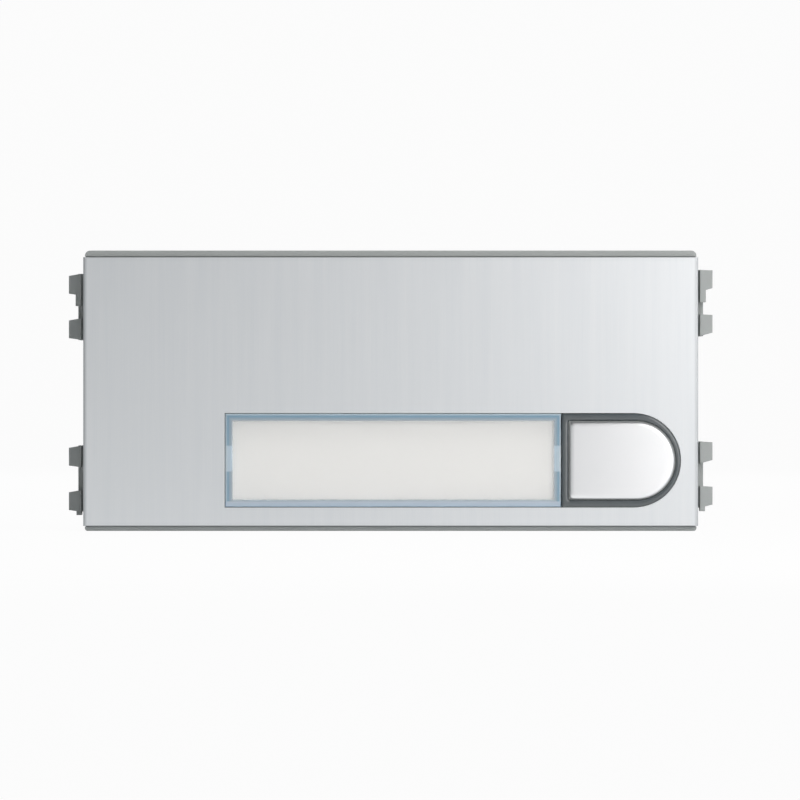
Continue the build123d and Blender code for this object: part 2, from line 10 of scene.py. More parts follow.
import bmesh
import bpy
import numpy as np
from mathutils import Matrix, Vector


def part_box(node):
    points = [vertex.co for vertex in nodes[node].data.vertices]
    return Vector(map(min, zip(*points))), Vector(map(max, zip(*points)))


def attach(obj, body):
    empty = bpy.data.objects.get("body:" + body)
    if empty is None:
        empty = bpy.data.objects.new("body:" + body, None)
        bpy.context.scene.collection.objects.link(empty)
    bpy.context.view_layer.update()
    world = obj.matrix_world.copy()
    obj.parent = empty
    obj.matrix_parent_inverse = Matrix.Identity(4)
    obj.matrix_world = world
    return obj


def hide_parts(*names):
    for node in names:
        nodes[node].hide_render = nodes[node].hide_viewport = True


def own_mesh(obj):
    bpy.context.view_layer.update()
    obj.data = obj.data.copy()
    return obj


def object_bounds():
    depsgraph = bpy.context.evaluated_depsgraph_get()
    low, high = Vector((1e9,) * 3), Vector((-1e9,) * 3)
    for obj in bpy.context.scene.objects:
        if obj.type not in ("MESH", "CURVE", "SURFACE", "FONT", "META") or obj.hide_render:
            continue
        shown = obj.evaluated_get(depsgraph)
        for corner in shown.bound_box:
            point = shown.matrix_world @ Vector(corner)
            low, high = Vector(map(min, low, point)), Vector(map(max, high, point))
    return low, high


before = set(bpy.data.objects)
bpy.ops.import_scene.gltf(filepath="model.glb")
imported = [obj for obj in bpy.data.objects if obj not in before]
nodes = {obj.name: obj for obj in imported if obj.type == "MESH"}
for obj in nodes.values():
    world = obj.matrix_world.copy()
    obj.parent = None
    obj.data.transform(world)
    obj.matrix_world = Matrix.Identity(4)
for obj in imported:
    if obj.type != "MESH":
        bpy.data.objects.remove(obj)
cad_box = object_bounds()
MM = 0.001
box_in_mm = [[round(float(v) / MM, 2) for v in corner] for corner in cad_box]
print("loaded", len(nodes), "pieces, box in mm:", box_in_mm)

# %% [markdown]
# ## Helpers for every finish
#
# Colours are written the way a paint chart gives them, as sRGB hex values. Cycles works with
# linear light, so one function undoes the sRGB curve. A finish is a small tree of nodes. Written
# out in full, each node takes five lines, so one function adds a node, sets it up and links it.
# Nearly all values of a noise lie between 0.3 and 0.7, so that span is what gets stretched where
# a noise drives something else.

# %% Colour and node helpers
NOISE_LOW, NOISE_HIGH = 0.3, 0.7
BEVEL_SAMPLES = 8
finishes = {}


def linear(code):
    """sRGB hex to linear RGBA: up to 0.04045 c / 12.92, above it ((c + 0.055) / 1.055) ** 2.4."""
    channels = np.array([int(code[i : i + 2], 16) for i in (1, 3, 5)]) / 255
    low = channels / 12.92
    high = ((channels + 0.055) / 1.055) ** 2.4
    return (*np.where(channels <= 0.04045, low, high).tolist(), 1.0)


def grow(tree, kind, sockets=None, **settings):
    """Adds one node. Settings go on the node; sockets take a value, or a node or output to link."""
    made = tree.nodes.new(kind)
    for name, value in settings.items():
        setattr(made, name, value)
    for key, value in (sockets or {}).items():
        if isinstance(value, bpy.types.Node):
            value = value.outputs[0]
        if isinstance(value, bpy.types.NodeSocket):
            tree.links.new(value, made.inputs[key])
        else:
            made.inputs[key].default_value = value
    return made


def blank(name):
    """A material with an empty tree. Returns the tree and the object's own coordinates, in m."""
    material = bpy.data.materials.new(name)
    material.use_nodes = True
    tree = material.node_tree
    tree.nodes.clear()
    finishes[name] = material
    return tree, grow(tree, "ShaderNodeTexCoord").outputs["Object"]


print("plain white is", linear("#FFFFFF"), "and mid grey", [round(v, 3) for v in linear("#808080")])

# %% [markdown]
# ## Brushed, clear-anodised aluminium
#
# The plate is an extruded profile that was drawn past an abrasive belt and then anodised clear.
# The belt leaves fine grooves from top to bottom, so light spreads sideways and the plate turns
# slowly from grey to nearly white across its width. Anisotropy gives that spread: without a UV map
# its tangent runs round the vertical axis, which is sideways on this face. The grooves themselves
# are noise, stretched along Z. The rounded sides and the cut ends are painted darker, told apart by
# their place: painted shade that takes the bright line off the sides and draws the dark seam where
# the ends meet the rims.

# %% Brushed, clear-anodised aluminium
groove_width = 0.16 * MM  # real grooves are about 0.05 mm, too fine for a picture of 800 pixels
groove_length = 18 * MM
groove_depth = 0.01 * MM
band_width = 1.6 * MM
band_length = 60 * MM
side_shade = 0.8 * MM  # how far the painted shade reaches in from the rounded sides
end_shade = 0.25 * MM  # the same at the cut ends
plate_low, plate_high = (np.array(corner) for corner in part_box("front_plate"))
plate_middle = (plate_low + plate_high) / 2
plate_half = (plate_high - plate_low) / 2
tree, place = blank("brushed_anodised_aluminium")
fine = grow(
    tree, "ShaderNodeMapping", {"Vector": place, "Scale": (1 / groove_width, 0, 1 / groove_length)}
)
grooves = grow(
    tree, "ShaderNodeTexNoise", {"Vector": fine, "Scale": 1, "Detail": 3, "Roughness": 0.6}
)
wide = grow(
    tree, "ShaderNodeMapping", {"Vector": place, "Scale": (1 / band_width, 0, 1 / band_length)}
)
bands = grow(
    tree, "ShaderNodeTexNoise", {"Vector": wide, "Scale": 1, "Detail": 2, "Roughness": 0.5}
)
both = grow(tree, "ShaderNodeMath", {0: grooves, 1: bands}, operation="ADD")
tone = grow(
    tree,
    "ShaderNodeMapRange",
    {"Value": both, "From Min": 2 * NOISE_LOW, "From Max": 2 * NOISE_HIGH},
)
metal = grow(
    tree, "ShaderNodeMix", {0: tone, 6: linear("#E0E4E7"), 7: linear("#E6E9EB")}, data_type="RGBA"
)
axes = grow(tree, "ShaderNodeSeparateXYZ", {0: place})
to_side = grow(
    tree, "ShaderNodeMath", {0: axes.outputs["X"], 1: float(plate_middle[0])}, operation="SUBTRACT"
)
to_side = grow(tree, "ShaderNodeMath", {0: to_side}, operation="ABSOLUTE")
shade_at_side = grow(
    tree,
    "ShaderNodeMapRange",
    {
        "Value": to_side,
        "From Min": float(plate_half[0] - side_shade),
        "From Max": float(plate_half[0]),
    },
    interpolation_type="SMOOTHSTEP",
)
to_end = grow(
    tree, "ShaderNodeMath", {0: axes.outputs["Z"], 1: float(plate_middle[2])}, operation="SUBTRACT"
)
to_end = grow(tree, "ShaderNodeMath", {0: to_end}, operation="ABSOLUTE")
shade_at_end = grow(
    tree,
    "ShaderNodeMapRange",
    {
        "Value": to_end,
        "From Min": float(plate_half[2] - end_shade),
        "From Max": float(plate_half[2]),
    },
)
shade_at_edge = grow(tree, "ShaderNodeMath", {0: shade_at_side, 1: shade_at_end}, operation="MAXIMUM")
# painted shade: the rounded sides and the cut ends darker
metal = grow(
    tree, "ShaderNodeMix", {0: shade_at_edge, 6: metal.outputs[2], 7: linear("#B2B6B9")}, data_type="RGBA"
)
rough = grow(
    tree,
    "ShaderNodeMapRange",
    {
        "Value": grooves,
        "From Min": NOISE_LOW,
        "From Max": NOISE_HIGH,
        "To Min": 0.31,
        "To Max": 0.37,
    },
)
scratch = grow(
    tree, "ShaderNodeBump", {"Height": grooves, "Strength": 0.1, "Distance": groove_depth}
)
shell = grow(
    tree,
    "ShaderNodeBsdfPrincipled",
    {
        "Base Color": metal.outputs[2],
        "Metallic": 1.0,
        "Roughness": rough,
        "Anisotropic": 0.6,
        "Normal": scratch,
    },
)
grow(tree, "ShaderNodeOutputMaterial", {"Surface": shell})
print("aluminium: grooves", groove_width / MM, "mm wide,", groove_length / MM, "mm long")

# %% [markdown]
# ## Moulded plastics
#
# Carrier, bezel, headers and switch are moulded: ABS where it shows, nylon where it is soldered.
# The steel mould was spark-eroded, which leaves a fine grain that breaks up highlights. The
# plastic itself is dyed through, with faint clouds where it flowed. No moulded edge is quite
# sharp: a bevel node rounds the shading where two faces meet. All of them are the same tree with
# other colours and sizes, so they come from one table.

# %% Moulded plastics
moulded = {
    # name: (colour, clouded colour, roughness, specular level,
    #        grain, grain depth and edge radius in mm)
    "grey_abs_moulded": ("#AFB4B3", "#B5BAB9", 0.52, 0.5, 0.35, 0.012, 0.15),
    "dark_grey_abs_moulded": ("#4C5458", "#535B5F", 0.22, 1.0, 0.30, 0.002, 0.55),
    "black_nylon_moulded": ("#1E1F20", "#262728", 0.50, 0.5, 0.30, 0.010, 0.10),
    "white_nylon_moulded": ("#E6E5DF", "#EDECE7", 0.45, 0.5, 0.30, 0.006, 0.10),
}
cloud_size = 9 * MM
moulded_swing = 0.05  # how far the grain moves the roughness either way
for name, (colour, clouded, roughness, shine, grain, depth, edge) in moulded.items():
    tree, place = blank(name)
    clouds = grow(
        tree, "ShaderNodeTexNoise", {"Vector": place, "Scale": 1 / cloud_size, "Detail": 2}
    )
    dyed = grow(
        tree, "ShaderNodeMix", {0: clouds, 6: linear(colour), 7: linear(clouded)}, data_type="RGBA"
    )
    sparks = grow(
        tree, "ShaderNodeTexNoise", {"Vector": place, "Scale": 1 / (grain * MM), "Detail": 3}
    )
    gloss = grow(
        tree,
        "ShaderNodeMapRange",
        {
            "Value": sparks,
            "From Min": NOISE_LOW,
            "From Max": NOISE_HIGH,
            "To Min": roughness - moulded_swing,
            "To Max": roughness + moulded_swing,
        },
    )
    eased = grow(tree, "ShaderNodeBevel", {"Radius": edge * MM}, samples=BEVEL_SAMPLES)
    pitted = grow(
        tree,
        "ShaderNodeBump",
        {"Height": sparks, "Strength": 0.4, "Distance": depth * MM, "Normal": eased},
    )
    shell = grow(
        tree,
        "ShaderNodeBsdfPrincipled",
        {
            "Base Color": dyed.outputs[2],
            "Roughness": gloss,
            "IOR": 1.53,
            "Specular IOR Level": shine,
            "Normal": pitted,
        },
    )
    grow(tree, "ShaderNodeOutputMaterial", {"Surface": shell})
print("plastics:", ", ".join(moulded))

# %% [markdown]
# ## Plated and drawn metals
#
# The button is ABS with a satin chrome plating: a bead-blasted surface under a bright, slightly
# blue metal. Screws and the switch cover are zinc plated, pins are tinned brass, the spring is
# drawn steel wire and the joints are solder. Each is a metal with its own tint and gloss, and a
# grain that says how it was made. The plating builds up and softens the cap's edges, which the
# bevel node gives again.

# %% Plated and drawn metals
plated = {
    # name: (colour, second colour, roughness, grain, grain depth and edge radius in mm)
    "satin_chromed_abs": ("#F0F2F4", "#F4F5F6", 0.42, 0.22, 0.0012, 1.00),
    "zinc_plated_steel": ("#B4B8BC", "#C2C1B8", 0.42, 0.60, 0.0040, 0.08),
    "tinned_brass": ("#D3CDBB", "#DEDACB", 0.26, 0.40, 0.0020, 0.05),
    "drawn_spring_steel": ("#A9ABAD", "#BDBFC0", 0.32, 0.15, 0.0020, 0.05),
    "tin_solder": ("#D2D4D5", "#DDDEDE", 0.36, 0.50, 0.0060, 0.05),
}
plated_swing = 0.04
for name, (colour, second, roughness, grain, depth, edge) in plated.items():
    tree, place = blank(name)
    crystals = grow(
        tree, "ShaderNodeTexNoise", {"Vector": place, "Scale": 1 / (grain * MM), "Detail": 2}
    )
    tint = grow(
        tree, "ShaderNodeMix", {0: crystals, 6: linear(colour), 7: linear(second)}, data_type="RGBA"
    )
    gloss = grow(
        tree,
        "ShaderNodeMapRange",
        {
            "Value": crystals,
            "From Min": NOISE_LOW,
            "From Max": NOISE_HIGH,
            "To Min": roughness - plated_swing,
            "To Max": roughness + plated_swing,
        },
    )
    eased = grow(tree, "ShaderNodeBevel", {"Radius": edge * MM}, samples=BEVEL_SAMPLES)
    blasted = grow(
        tree,
        "ShaderNodeBump",
        {"Height": crystals, "Strength": 0.3, "Distance": depth * MM, "Normal": eased},
    )
    shell = grow(
        tree,
        "ShaderNodeBsdfPrincipled",
        {"Base Color": tint.outputs[2], "Metallic": 1.0, "Roughness": gloss, "Normal": blasted},
    )
    grow(tree, "ShaderNodeOutputMaterial", {"Surface": shell})
print("metals:", ", ".join(plated))

# %% [markdown]
# ## Clear polycarbonate with a cool edge
#
# The name window is polished polycarbonate. Through the thin pane it looks clear. Round the card
# the eye looks down the whole depth of the skirt, and there the resin shows its blue tint. That
# tint is placed by the object's own coordinates: outside the card's box it is blue, deepest in the
# middle of the wall. There the window is mostly matt, so how pale the band looks is painted light:
# paler towards the wall's inner and outer edges, paler along the lower wall, which light from above
# reaches through the pane, and paler at the two end clips, where light comes in from behind. Lamps
# would not get through refracting plastic without a very long render, so rays that test for shadow
# pass straight through.

# %% Clear polycarbonate with a cool edge
card_low, card_high = (np.array(corner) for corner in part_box("name_card"))
card_middle = (card_low + card_high) / 2
card_half = (card_high - card_low) / 2
card_gap = 0.1 * MM  # from the card to the wall of the skirt
clip_half = 2.3 * MM
clip_rise = 0.3 * MM  # the clips sit this far above the card's middle
skirt_width = 1.0 * MM
soft_edge = 0.15 * MM
deepest_from, deepest_to = 0.45, 0.55  # where in the wall the tint is deepest
tree, place = blank("clear_polycarbonate")
axes = grow(tree, "ShaderNodeSeparateXYZ", {0: place})
along = grow(
    tree, "ShaderNodeMath", {0: axes.outputs["X"], 1: float(card_middle[0])}, operation="SUBTRACT"
)
along = grow(tree, "ShaderNodeMath", {0: along}, operation="ABSOLUTE")
past_end = grow(
    tree, "ShaderNodeMath", {0: along, 1: float(card_half[0] + card_gap)}, operation="SUBTRACT"
)
up = grow(
    tree, "ShaderNodeMath", {0: axes.outputs["Z"], 1: float(card_middle[2])}, operation="SUBTRACT"
)
up = grow(tree, "ShaderNodeMath", {0: up}, operation="ABSOLUTE")
past_side = grow(
    tree, "ShaderNodeMath", {0: up, 1: float(card_half[2] + card_gap)}, operation="SUBTRACT"
)
past_card = grow(tree, "ShaderNodeMath", {0: past_end, 1: past_side}, operation="MAXIMUM")
skirt = grow(
    tree,
    "ShaderNodeMapRange",
    {"Value": past_card, "From Min": -card_gap - 2 * soft_edge, "From Max": -card_gap},
)
clip_z = float(card_middle[2]) + clip_rise
card_bottom = float(card_low[2] - card_gap)
from_clip = grow(tree, "ShaderNodeMath", {0: axes.outputs["Z"], 1: clip_z}, operation="SUBTRACT")
from_clip = grow(tree, "ShaderNodeMath", {0: from_clip}, operation="ABSOLUTE")
beside_clip = grow(tree, "ShaderNodeMath", {0: from_clip, 1: clip_half}, operation="SUBTRACT")
off_clip = grow(
    tree,
    "ShaderNodeMapRange",
    {"Value": beside_clip, "From Min": -soft_edge, "From Max": soft_edge},
)
outward = grow(tree, "ShaderNodeMapRange", {"Value": past_card, "From Max": skirt_width})
inner = grow(tree, "ShaderNodeMapRange", {"Value": outward, "From Max": deepest_from})
outer = grow(
    tree, "ShaderNodeMapRange", {"Value": outward, "From Min": deepest_to, "From Max": 1.0}
)
# painted light: the wall paler towards its inner and outer edges
tint_and_light = grow(
    tree, "ShaderNodeMix", {0: inner, 6: linear("#B8CAD6"), 7: linear("#99BED6")}, data_type="RGBA"
)
tint_and_light = grow(
    tree, "ShaderNodeMix", {0: outer, 6: tint_and_light.outputs[2], 7: linear("#E6F6FF")}, data_type="RGBA"
)
# painted light along the lower wall, which light from above reaches
below = grow(
    tree, "ShaderNodeMath", {0: card_bottom, 1: axes.outputs["Z"]}, operation="GREATER_THAN"
)
lower = grow(
    tree,
    "ShaderNodeMix",
    {0: outward, 6: linear("#D8E5F2"), 7: linear("#C8E0F6")},
    data_type="RGBA",
)
tint_and_light = grow(
    tree, "ShaderNodeMix", {0: below, 6: tint_and_light.outputs[2], 7: lower.outputs[2]}, data_type="RGBA"
)
# painted light at the end clips, where light comes in from behind
clip = grow(
    tree, "ShaderNodeMix", {0: outer, 6: linear("#D4EAF8"), 7: linear("#EEFAFF")}, data_type="RGBA"
)
tint_and_light = grow(
    tree, "ShaderNodeMix", {0: off_clip, 6: clip.outputs[2], 7: tint_and_light.outputs[2]}, data_type="RGBA"
)
tinted_and_lit = grow(
    tree, "ShaderNodeMix", {0: skirt, 6: linear("#FDFDFD"), 7: tint_and_light.outputs[2]}, data_type="RGBA"
)
clearness = grow(tree, "ShaderNodeMapRange", {"Value": skirt, "To Min": 1.0, "To Max": 0.2})
shell = grow(
    tree,
    "ShaderNodeBsdfPrincipled",
    {
        "Base Color": tinted_and_lit.outputs[2],
        "Roughness": 0.03,
        "IOR": 1.585,
        "Transmission Weight": clearness,
    },
)
rays = grow(tree, "ShaderNodeLightPath")
through = grow(tree, "ShaderNodeBsdfTransparent")
window = grow(
    tree, "ShaderNodeMixShader", {0: rays.outputs["Is Shadow Ray"], 1: shell, 2: through}
)
grow(tree, "ShaderNodeOutputMaterial", {"Surface": window})
print("window: blue past", [round(float(v / MM), 2) for v in card_half], "mm from its middle")

# %% [markdown]
# ## Card and diffuser
#
# The name card is thick uncoated paper, nearly pure white, with short curled fibres that mostly
# lie along it. The diffuser behind it is opal acrylic, which spreads the light of three small
# lamps evenly: smooth, milky and without a pattern of its own, apart from the slow clouds that a
# thick moulding has.

# %% Card and diffuser
fibre_length = 1.2 * MM
fibre_width = 0.25 * MM
fibre_depth = 0.01 * MM
tree, place = blank("uncoated_card")
felt = grow(
    tree, "ShaderNodeMapping", {"Vector": place, "Scale": (1 / fibre_length, 0, 1 / fibre_width)}
)
fibres = grow(
    tree, "ShaderNodeTexNoise", {"Vector": felt, "Scale": 1, "Detail": 4, "Distortion": 1.5}
)
paper = grow(
    tree, "ShaderNodeMix", {0: fibres, 6: linear("#F7F8F6"), 7: linear("#FDFEFC")}, data_type="RGBA"
)
tooth = grow(tree, "ShaderNodeBump", {"Height": fibres, "Strength": 0.2, "Distance": fibre_depth})
shell = grow(
    tree,
    "ShaderNodeBsdfPrincipled",
    {"Base Color": paper.outputs[2], "Roughness": 0.85, "IOR": 1.5, "Normal": tooth},
)
grow(tree, "ShaderNodeOutputMaterial", {"Surface": shell})

opal_cloud = 6 * MM
tree, place = blank("opal_acrylic")
milk = grow(tree, "ShaderNodeTexNoise", {"Vector": place, "Scale": 1 / opal_cloud, "Detail": 1})
opal = grow(
    tree, "ShaderNodeMix", {0: milk, 6: linear("#EEF0EF"), 7: linear("#F6F7F6")}, data_type="RGBA"
)
sheen = grow(tree, "ShaderNodeMapRange", {"Value": milk, "To Min": 0.22, "To Max": 0.32})
shell = grow(
    tree,
    "ShaderNodeBsdfPrincipled",
    {"Base Color": opal.outputs[2], "Roughness": sheen, "IOR": 1.49, "Coat Weight": 0.3},
)
grow(tree, "ShaderNodeOutputMaterial", {"Surface": shell})
print("card and diffuser ready")

# %% [markdown]
# ## Circuit board
#
# The board is glass cloth in epoxy under a green solder resist. Looked at closely, the weave shows
# through as a faint grid, and the resist is glossy. Two sets of bands, one across and one up, make
# the weave. Where the resist lies over copper it looks paler.

# %% Circuit board laminate
WAVE_REPEAT = 0.314  # the width of one band in a wave texture of scale 1
thread = 0.8 * MM  # real threads are 0.4 mm apart, drawn at twice that so that they show
tree, place = blank("green_glass_laminate")
warp, weft = (
    grow(
        tree,
        "ShaderNodeTexWave",
        {"Vector": place, "Scale": WAVE_REPEAT / thread, "Distortion": 0.4},
        bands_direction=direction,
    )
    for direction in ("X", "Z")
)
cloth = grow(tree, "ShaderNodeMath", {0: warp, 1: weft}, operation="MULTIPLY")
resist = grow(
    tree, "ShaderNodeMix", {0: cloth, 6: linear("#1C5B36"), 7: linear("#24683F")}, data_type="RGBA"
)
shell = grow(
    tree,
    "ShaderNodeBsdfPrincipled",
    {
        "Base Color": resist.outputs[2],
        "Roughness": 0.34,
        "IOR": 1.55,
        "Coat Weight": 0.4,
        "Coat Roughness": 0.2,
    },
)
grow(tree, "ShaderNodeOutputMaterial", {"Surface": shell})

tree, place = blank("resist_over_copper")
ripple = grow(tree, "ShaderNodeTexNoise", {"Vector": place, "Scale": 1 / thread, "Detail": 2})
copper = grow(
    tree, "ShaderNodeMix", {0: ripple, 6: linear("#3A8A52"), 7: linear("#45955B")}, data_type="RGBA"
)
shell = grow(
    tree,
    "ShaderNodeBsdfPrincipled",
    {
        "Base Color": copper.outputs[2],
        "Roughness": 0.3,
        "IOR": 1.55,
        "Coat Weight": 0.4,
        "Coat Roughness": 0.2,
    },
)
grow(tree, "ShaderNodeOutputMaterial", {"Surface": shell})
print("board: threads drawn", thread / MM, "mm apart")

# %% [markdown]
# ## Small parts on the board
#
# The lamps have a yellow phosphor under clear epoxy. A chip resistor is a dark glazed ceramic with
# a tinned cap at each end, and a glass diode is a tinted bead with tinned ends and one dark band.
# Their ends are told apart by the distance from the part's middle along X. The resistors repeat at
# the pitch of the lamps, so a floored modulo folds the three of them into one. The diode is alone,
# so its repeat is simply long.

# %% Small parts on the board
phosphor_grain = 0.2 * MM
tree, place = blank("phosphor_in_clear_epoxy")
powder = grow(
    tree, "ShaderNodeTexNoise", {"Vector": place, "Scale": 1 / phosphor_grain, "Detail": 2}
)
yellow = grow(
    tree, "ShaderNodeMix", {0: powder, 6: linear("#E6CC4E"), 7: linear("#F0DB6C")}, data_type="RGBA"
)
shell = grow(
    tree,
    "ShaderNodeBsdfPrincipled",
    {
        "Base Color": yellow.outputs[2],
        "Roughness": 0.4,
        "IOR": 1.5,
        "Coat Weight": 0.8,
        "Coat Roughness": 0.05,
    },
)
grow(tree, "ShaderNodeOutputMaterial", {"Surface": shell})

lamp_pitch = 18.5 * MM
small_parts = {
    # name: (node, repeat in metres, body colour, band colour,
    #        band start, band end and where the tin starts, in mm from the middle)
    "glazed_resistor_ceramic": ("resistors", lamp_pitch, "#17181A", "#1E2022", 0.2, 0.8, 1.15),
    "tinted_diode_glass": ("diode", 1.0, "#B0563A", "#1A1816", 0.55, 0.95, 1.25),
}
for name, (node, repeat, body, band, band_from, band_to, tin_from) in small_parts.items():
    low, high = (np.array(corner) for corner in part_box(node))
    start = float((low + high)[0] / 2) - repeat / 2
    tree, place = blank(name)
    axes = grow(tree, "ShaderNodeSeparateXYZ", {0: place})
    shifted = grow(tree, "ShaderNodeMath", {0: axes.outputs["X"], 1: start}, operation="SUBTRACT")
    folded = grow(tree, "ShaderNodeMath", {0: shifted, 1: repeat}, operation="FLOORED_MODULO")
    centred = grow(tree, "ShaderNodeMath", {0: folded, 1: repeat / 2}, operation="SUBTRACT")
    reach = grow(tree, "ShaderNodeMath", {0: centred}, operation="ABSOLUTE")
    after = grow(tree, "ShaderNodeMath", {0: centred, 1: band_from * MM}, operation="GREATER_THAN")
    before = grow(tree, "ShaderNodeMath", {0: centred, 1: band_to * MM}, operation="LESS_THAN")
    banded = grow(tree, "ShaderNodeMath", {0: after, 1: before}, operation="MULTIPLY")
    tinned = grow(tree, "ShaderNodeMath", {0: reach, 1: tin_from * MM}, operation="GREATER_THAN")
    core = grow(
        tree, "ShaderNodeMix", {0: banded, 6: linear(body), 7: linear(band)}, data_type="RGBA"
    )
    skin = grow(
        tree,
        "ShaderNodeMix",
        {0: tinned, 6: core.outputs[2], 7: linear("#D0D1D0")},
        data_type="RGBA",
    )
    shell = grow(
        tree,
        "ShaderNodeBsdfPrincipled",
        {"Base Color": skin.outputs[2], "Metallic": tinned, "Roughness": 0.25, "IOR": 1.5},
    )
    grow(tree, "ShaderNodeOutputMaterial", {"Surface": shell})
    print(name, "tinned past", tin_from, "mm")

# %% [markdown]
# ## Dress the solids
#
# A solid keeps its mesh and only changes its finish, so each one gets a single material slot.

# %% Dress the solids
dress = {
    "front_plate": "brushed_anodised_aluminium",
    "carrier": "grey_abs_moulded",
    "button_bezel": "dark_grey_abs_moulded",
    "push_button": "satin_chromed_abs",
    "label_window": "clear_polycarbonate",
    "name_card": "uncoated_card",
    "label_diffuser": "opal_acrylic",
    "circuit_board": "green_glass_laminate",
    "board_screws": "zinc_plated_steel",
    "switch_base": "black_nylon_moulded",
    "switch_cover": "zinc_plated_steel",
    "switch_plunger": "black_nylon_moulded",
    "switch_legs": "tinned_brass",
    "led_bodies": "white_nylon_moulded",
    "led_lenses": "phosphor_in_clear_epoxy",
    "input_header_base": "black_nylon_moulded",
    "input_header_pins": "tinned_brass",
    "output_header_base": "black_nylon_moulded",
    "output_header_pins": "tinned_brass",
    "resistors": "glazed_resistor_ceramic",
    "diode": "tinted_diode_glass",
}
for node, name in dress.items():
    nodes[node].data.materials.clear()
    nodes[node].data.materials.append(finishes[name])
print("dressed", len(dress), "solids")

# %% [markdown]
# ## From sheets of points to a mesh
#
# Every new piece is worked out as one or more sheets: arrays of points with rows and columns.
# Neighbouring points make the faces. The columns close into a ring. The ends close where the first
# and last rows shrink to a point or a short line, or where the last row comes back to the first.
# Welding the doubled points turns shrunken ends into neat fans and joins the rest.

# %% Sheets of points
WELD = 1e-7  # metres


def surface(name, sheets, finish, body="module"):
    """One object from sheets of shape (sheets, rows, columns, 3): four neighbours make a face."""
    count, rows, columns = sheets.shape[:3]
    index = np.arange(count * rows * columns).reshape(count, rows, columns)
    index = np.concatenate([index, index[:, :, :1]], axis=2)
    corners = [index[:, :-1, :-1], index[:, :-1, 1:], index[:, 1:, 1:], index[:, 1:, :-1]]
    mesh = bpy.data.meshes.new(name)
    mesh.from_pydata(sheets.reshape(-1, 3), [], np.stack(corners, axis=-1).reshape(-1, 4))
    work = bmesh.new()
    work.from_mesh(mesh)
    bmesh.ops.remove_doubles(work, verts=work.verts, dist=WELD)
    bmesh.ops.recalc_face_normals(work, faces=work.faces)
    work.to_mesh(mesh)
    work.free()
    mesh.shade_smooth()
    mesh.materials.append(finishes[finish])
    made = bpy.data.objects.new(name, mesh)
    bpy.context.collection.objects.link(made)
    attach(made, body)
    print(name, "has", len(mesh.polygons), "faces")
    return made


print("points closer than", round(WELD / MM, 6), "mm are welded")

# %% [markdown]
# ## Return spring
#
# The coil under the cap is wound from 0.5 mm wire. A real compression spring has a closed turn at
# each end, so that it stands flat, and open turns between. A round wire carried along a helix gives
# that: the height follows the angle slowly in the closed turns and faster in the open ones. It
# takes the place of the five-sided wire of the solid and runs back to the floor of the well.

# %% Return spring
coil_low, coil_high = (np.array(corner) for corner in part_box("return_spring"))
coil_middle = (coil_low + coil_high) / 2
wire = 0.5 * MM
wire_sides = 12
coil_radius = 2.7 * MM
turns = 5.5
turn_steps = 40
floor_y = 0.2 * MM


def coil():
    """A tube on a helix: the centre turns at a fixed radius while its depth rises by one wire in
    each end turn and evenly between; the wall stands off by the wire's radius along the radial and
    binormal ways."""
    angle = np.linspace(0, 2 * np.pi * turns, int(turns * turn_steps) + 1)
    angle = np.concatenate([angle[:1], angle, angle[-1:]])
    width = np.ones_like(angle)
    width[[0, -1]] = 0
    front = coil_low[1] + wire / 2
    back = floor_y - wire / 2
    turned = angle / (2 * np.pi)
    depth = np.interp(turned, [0, 1, turns - 1, turns], [front, front + wire, back - wire, back])
    radial = np.stack([np.cos(angle), np.zeros_like(angle), np.sin(angle)], axis=-1)
    centre = coil_middle + coil_radius * radial
    centre[:, 1] = depth
    sideways = np.stack([-np.sin(angle), np.zeros_like(angle), np.cos(angle)], axis=-1)
    ahead = sideways * coil_radius * 2 * np.pi / turn_steps
    ahead[:, 1] = np.gradient(depth)
    ahead /= np.linalg.norm(ahead, axis=1, keepdims=True)
    binormal = np.cross(ahead, radial)
    round_wire = np.linspace(0, 2 * np.pi, wire_sides, endpoint=False)[None, :, None]
    ring = np.cos(round_wire) * radial[:, None, :] + np.sin(round_wire) * binormal[:, None, :]
    return (centre[:, None, :] + wire / 2 * width[:, None, None] * ring)[None]


spring = surface("wound_return_spring", coil(), "drawn_spring_steel")
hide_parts("return_spring")
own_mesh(spring)

# %% [markdown]
# ## Pale collar in the slit round the cap
#
# The slit between cap and bezel is narrow, yet it is grey and not black. A collar of plain pale
# plastic is put round the plated cap just below the bezel's edge as painted light, so the slit
# shows grey and not the black of its shade. It is a flat section carried round the cap's outline:
# square at the left end, half-round at the right.

# %% Pale collar in the slit round the cap
cap_gap = 0.2 * MM  # from cap to bezel
cap_end_gap = 0.3 * MM  # the same at the square end
cap_corner = 0.55 * MM
bezel_corner = 0.3 * MM
collar_play = 0.05 * MM  # left free towards the bezel
collar_root = 0.05 * MM  # sunk into the cap
collar_proud = 0.1 * MM  # in front of the plate's face
collar_height = 0.6 * MM
end_points = 49
corner_points = 9
plate_face = float(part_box("front_plate")[0][1])


def bullet(left, right, low, high, corner):
    """An outline as X and Z: a half circle on the right, two small quarter circles on the left."""
    half = (high - low) / 2
    middle = (high + low) / 2
    round_end = np.linspace(-np.pi / 2, np.pi / 2, end_points)
    upper = np.linspace(np.pi / 2, np.pi, corner_points)
    lower = np.linspace(np.pi, 3 * np.pi / 2, corner_points)
    across = [
        right - half + half * np.cos(round_end),
        left + corner + corner * np.cos(upper),
        left + corner + corner * np.cos(lower),
    ]
    upward = [
        middle + half * np.sin(round_end),
        high - corner + corner * np.sin(upper),
        low + corner + corner * np.sin(lower),
    ]
    return np.stack([np.concatenate(across), np.concatenate(upward)], axis=-1)


